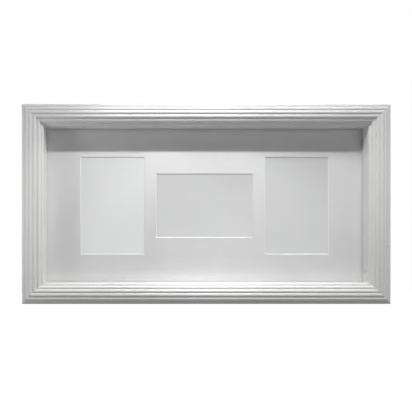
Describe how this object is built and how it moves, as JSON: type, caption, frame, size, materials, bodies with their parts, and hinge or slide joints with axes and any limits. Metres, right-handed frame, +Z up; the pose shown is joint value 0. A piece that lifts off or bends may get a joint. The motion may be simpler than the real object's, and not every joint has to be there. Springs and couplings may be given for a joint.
{
  "type": "collage photo frame",
  "caption": "White reeded frame with a deep inner wall and a mat with bevelled windows for upright and lying prints; hangs on rings, with a backing held by turn buttons.",
  "frame": {"origin": "midway between the two points where the rings hang on their hooks, on the plane of the rails' backs", "axes": "+X to the viewer's right, +Y towards the wall, +Z up; the pictures face -Y"},
  "size_m": [0.532, 0.0394, 0.289],
  "materials": {
    "white_lacquer": "satin white lacquer",
    "mat_card": "matt white",
    "insert_card": "matt light grey",
    "clear_glass": "clear",
    "paper_tape": "matt",
    "grey_card": "matt grey",
    "hardboard": "smooth brown hardboard",
    "plated_steel": "zinc plated",
    "button_steel": "black coated",
    "bumper_rubber": "matt"
  },
  "bodies": {
    "frame": {"top_rail": "white_lacquer", "bottom_rail": "white_lacquer", "left_rail": "white_lacquer", "right_rail": "white_lacquer", "corner_v_nails": "plated_steel", "glass_sheet": "clear_glass", "mat_board": "mat_card", "photo_insert_left": "insert_card", "photo_insert_centre": "insert_card", "photo_insert_right": "insert_card", "photo_tape_strips": "paper_tape", "filler_card": "grey_card", "backing_board": "hardboard", "turn_button_screws": "plated_steel", "hanger_strap_left": "plated_steel", "hanger_strap_right": "plated_steel", "hanger_screws": "plated_steel", "wall_bumpers": "bumper_rubber"},
    "turn_button_top_left": {"turn_button_top_left": "button_steel"},
    "turn_button_top_centre": {"turn_button_top_centre": "button_steel"},
    "turn_button_top_right": {"turn_button_top_right": "button_steel"},
    "turn_button_bottom_left": {"turn_button_bottom_left": "button_steel"},
    "turn_button_bottom_centre": {"turn_button_bottom_centre": "button_steel"},
    "turn_button_bottom_right": {"turn_button_bottom_right": "button_steel"},
    "turn_button_left": {"turn_button_left": "button_steel"},
    "turn_button_right": {"turn_button_right": "button_steel"},
    "hanger_ring_left": {"hanger_ring_left": "plated_steel"},
    "hanger_ring_right": {"hanger_ring_right": "plated_steel"}
  },
  "joints": [
    {"name": "turn_button_top_left_pivot", "type": "hinge", "parent": "frame", "child": "turn_button_top_left", "pos_m": [-0.15, 0.00075, 0.055], "axis": [0, 1, 0], "range_deg": [-90, 90]},
    {"name": "turn_button_top_centre_pivot", "type": "hinge", "parent": "frame", "child": "turn_button_top_centre", "pos_m": [0, 0.00075, 0.055], "axis": [0, 1, 0], "range_deg": [-90, 90]},
    {"name": "turn_button_top_right_pivot", "type": "hinge", "parent": "frame", "child": "turn_button_top_right", "pos_m": [0.15, 0.00075, 0.055], "axis": [0, 1, 0], "range_deg": [-90, 90]},
    {"name": "turn_button_bottom_left_pivot", "type": "hinge", "parent": "frame", "child": "turn_button_bottom_left", "pos_m": [-0.15, 0.00075, -0.204], "axis": [0, 1, 0], "range_deg": [-90, 90]},
    {"name": "turn_button_bottom_centre_pivot", "type": "hinge", "parent": "frame", "child": "turn_button_bottom_centre", "pos_m": [0, 0.00075, -0.204], "axis": [0, 1, 0], "range_deg": [-90, 90]},
    {"name": "turn_button_bottom_right_pivot", "type": "hinge", "parent": "frame", "child": "turn_button_bottom_right", "pos_m": [0.15, 0.00075, -0.204], "axis": [0, 1, 0], "range_deg": [-90, 90]},
    {"name": "turn_button_left_pivot", "type": "hinge", "parent": "frame", "child": "turn_button_left", "pos_m": [-0.251, 0.00075, -0.0745], "axis": [0, 1, 0], "range_deg": [-90, 90]},
    {"name": "turn_button_right_pivot", "type": "hinge", "parent": "frame", "child": "turn_button_right", "pos_m": [0.251, 0.00075, -0.0745], "axis": [0, 1, 0], "range_deg": [-90, 90]},
    {"name": "hanger_ring_left_swing", "type": "hinge", "parent": "frame", "child": "hanger_ring_left", "pos_m": [-0.254, 0.00218, -0.0118], "axis": [-1, 0, 0], "range_deg": [0, 165]},
    {"name": "hanger_ring_right_swing", "type": "hinge", "parent": "frame", "child": "hanger_ring_right", "pos_m": [0.254, 0.00218, -0.0118], "axis": [-1, 0, 0], "range_deg": [0, 165]}
  ]
}
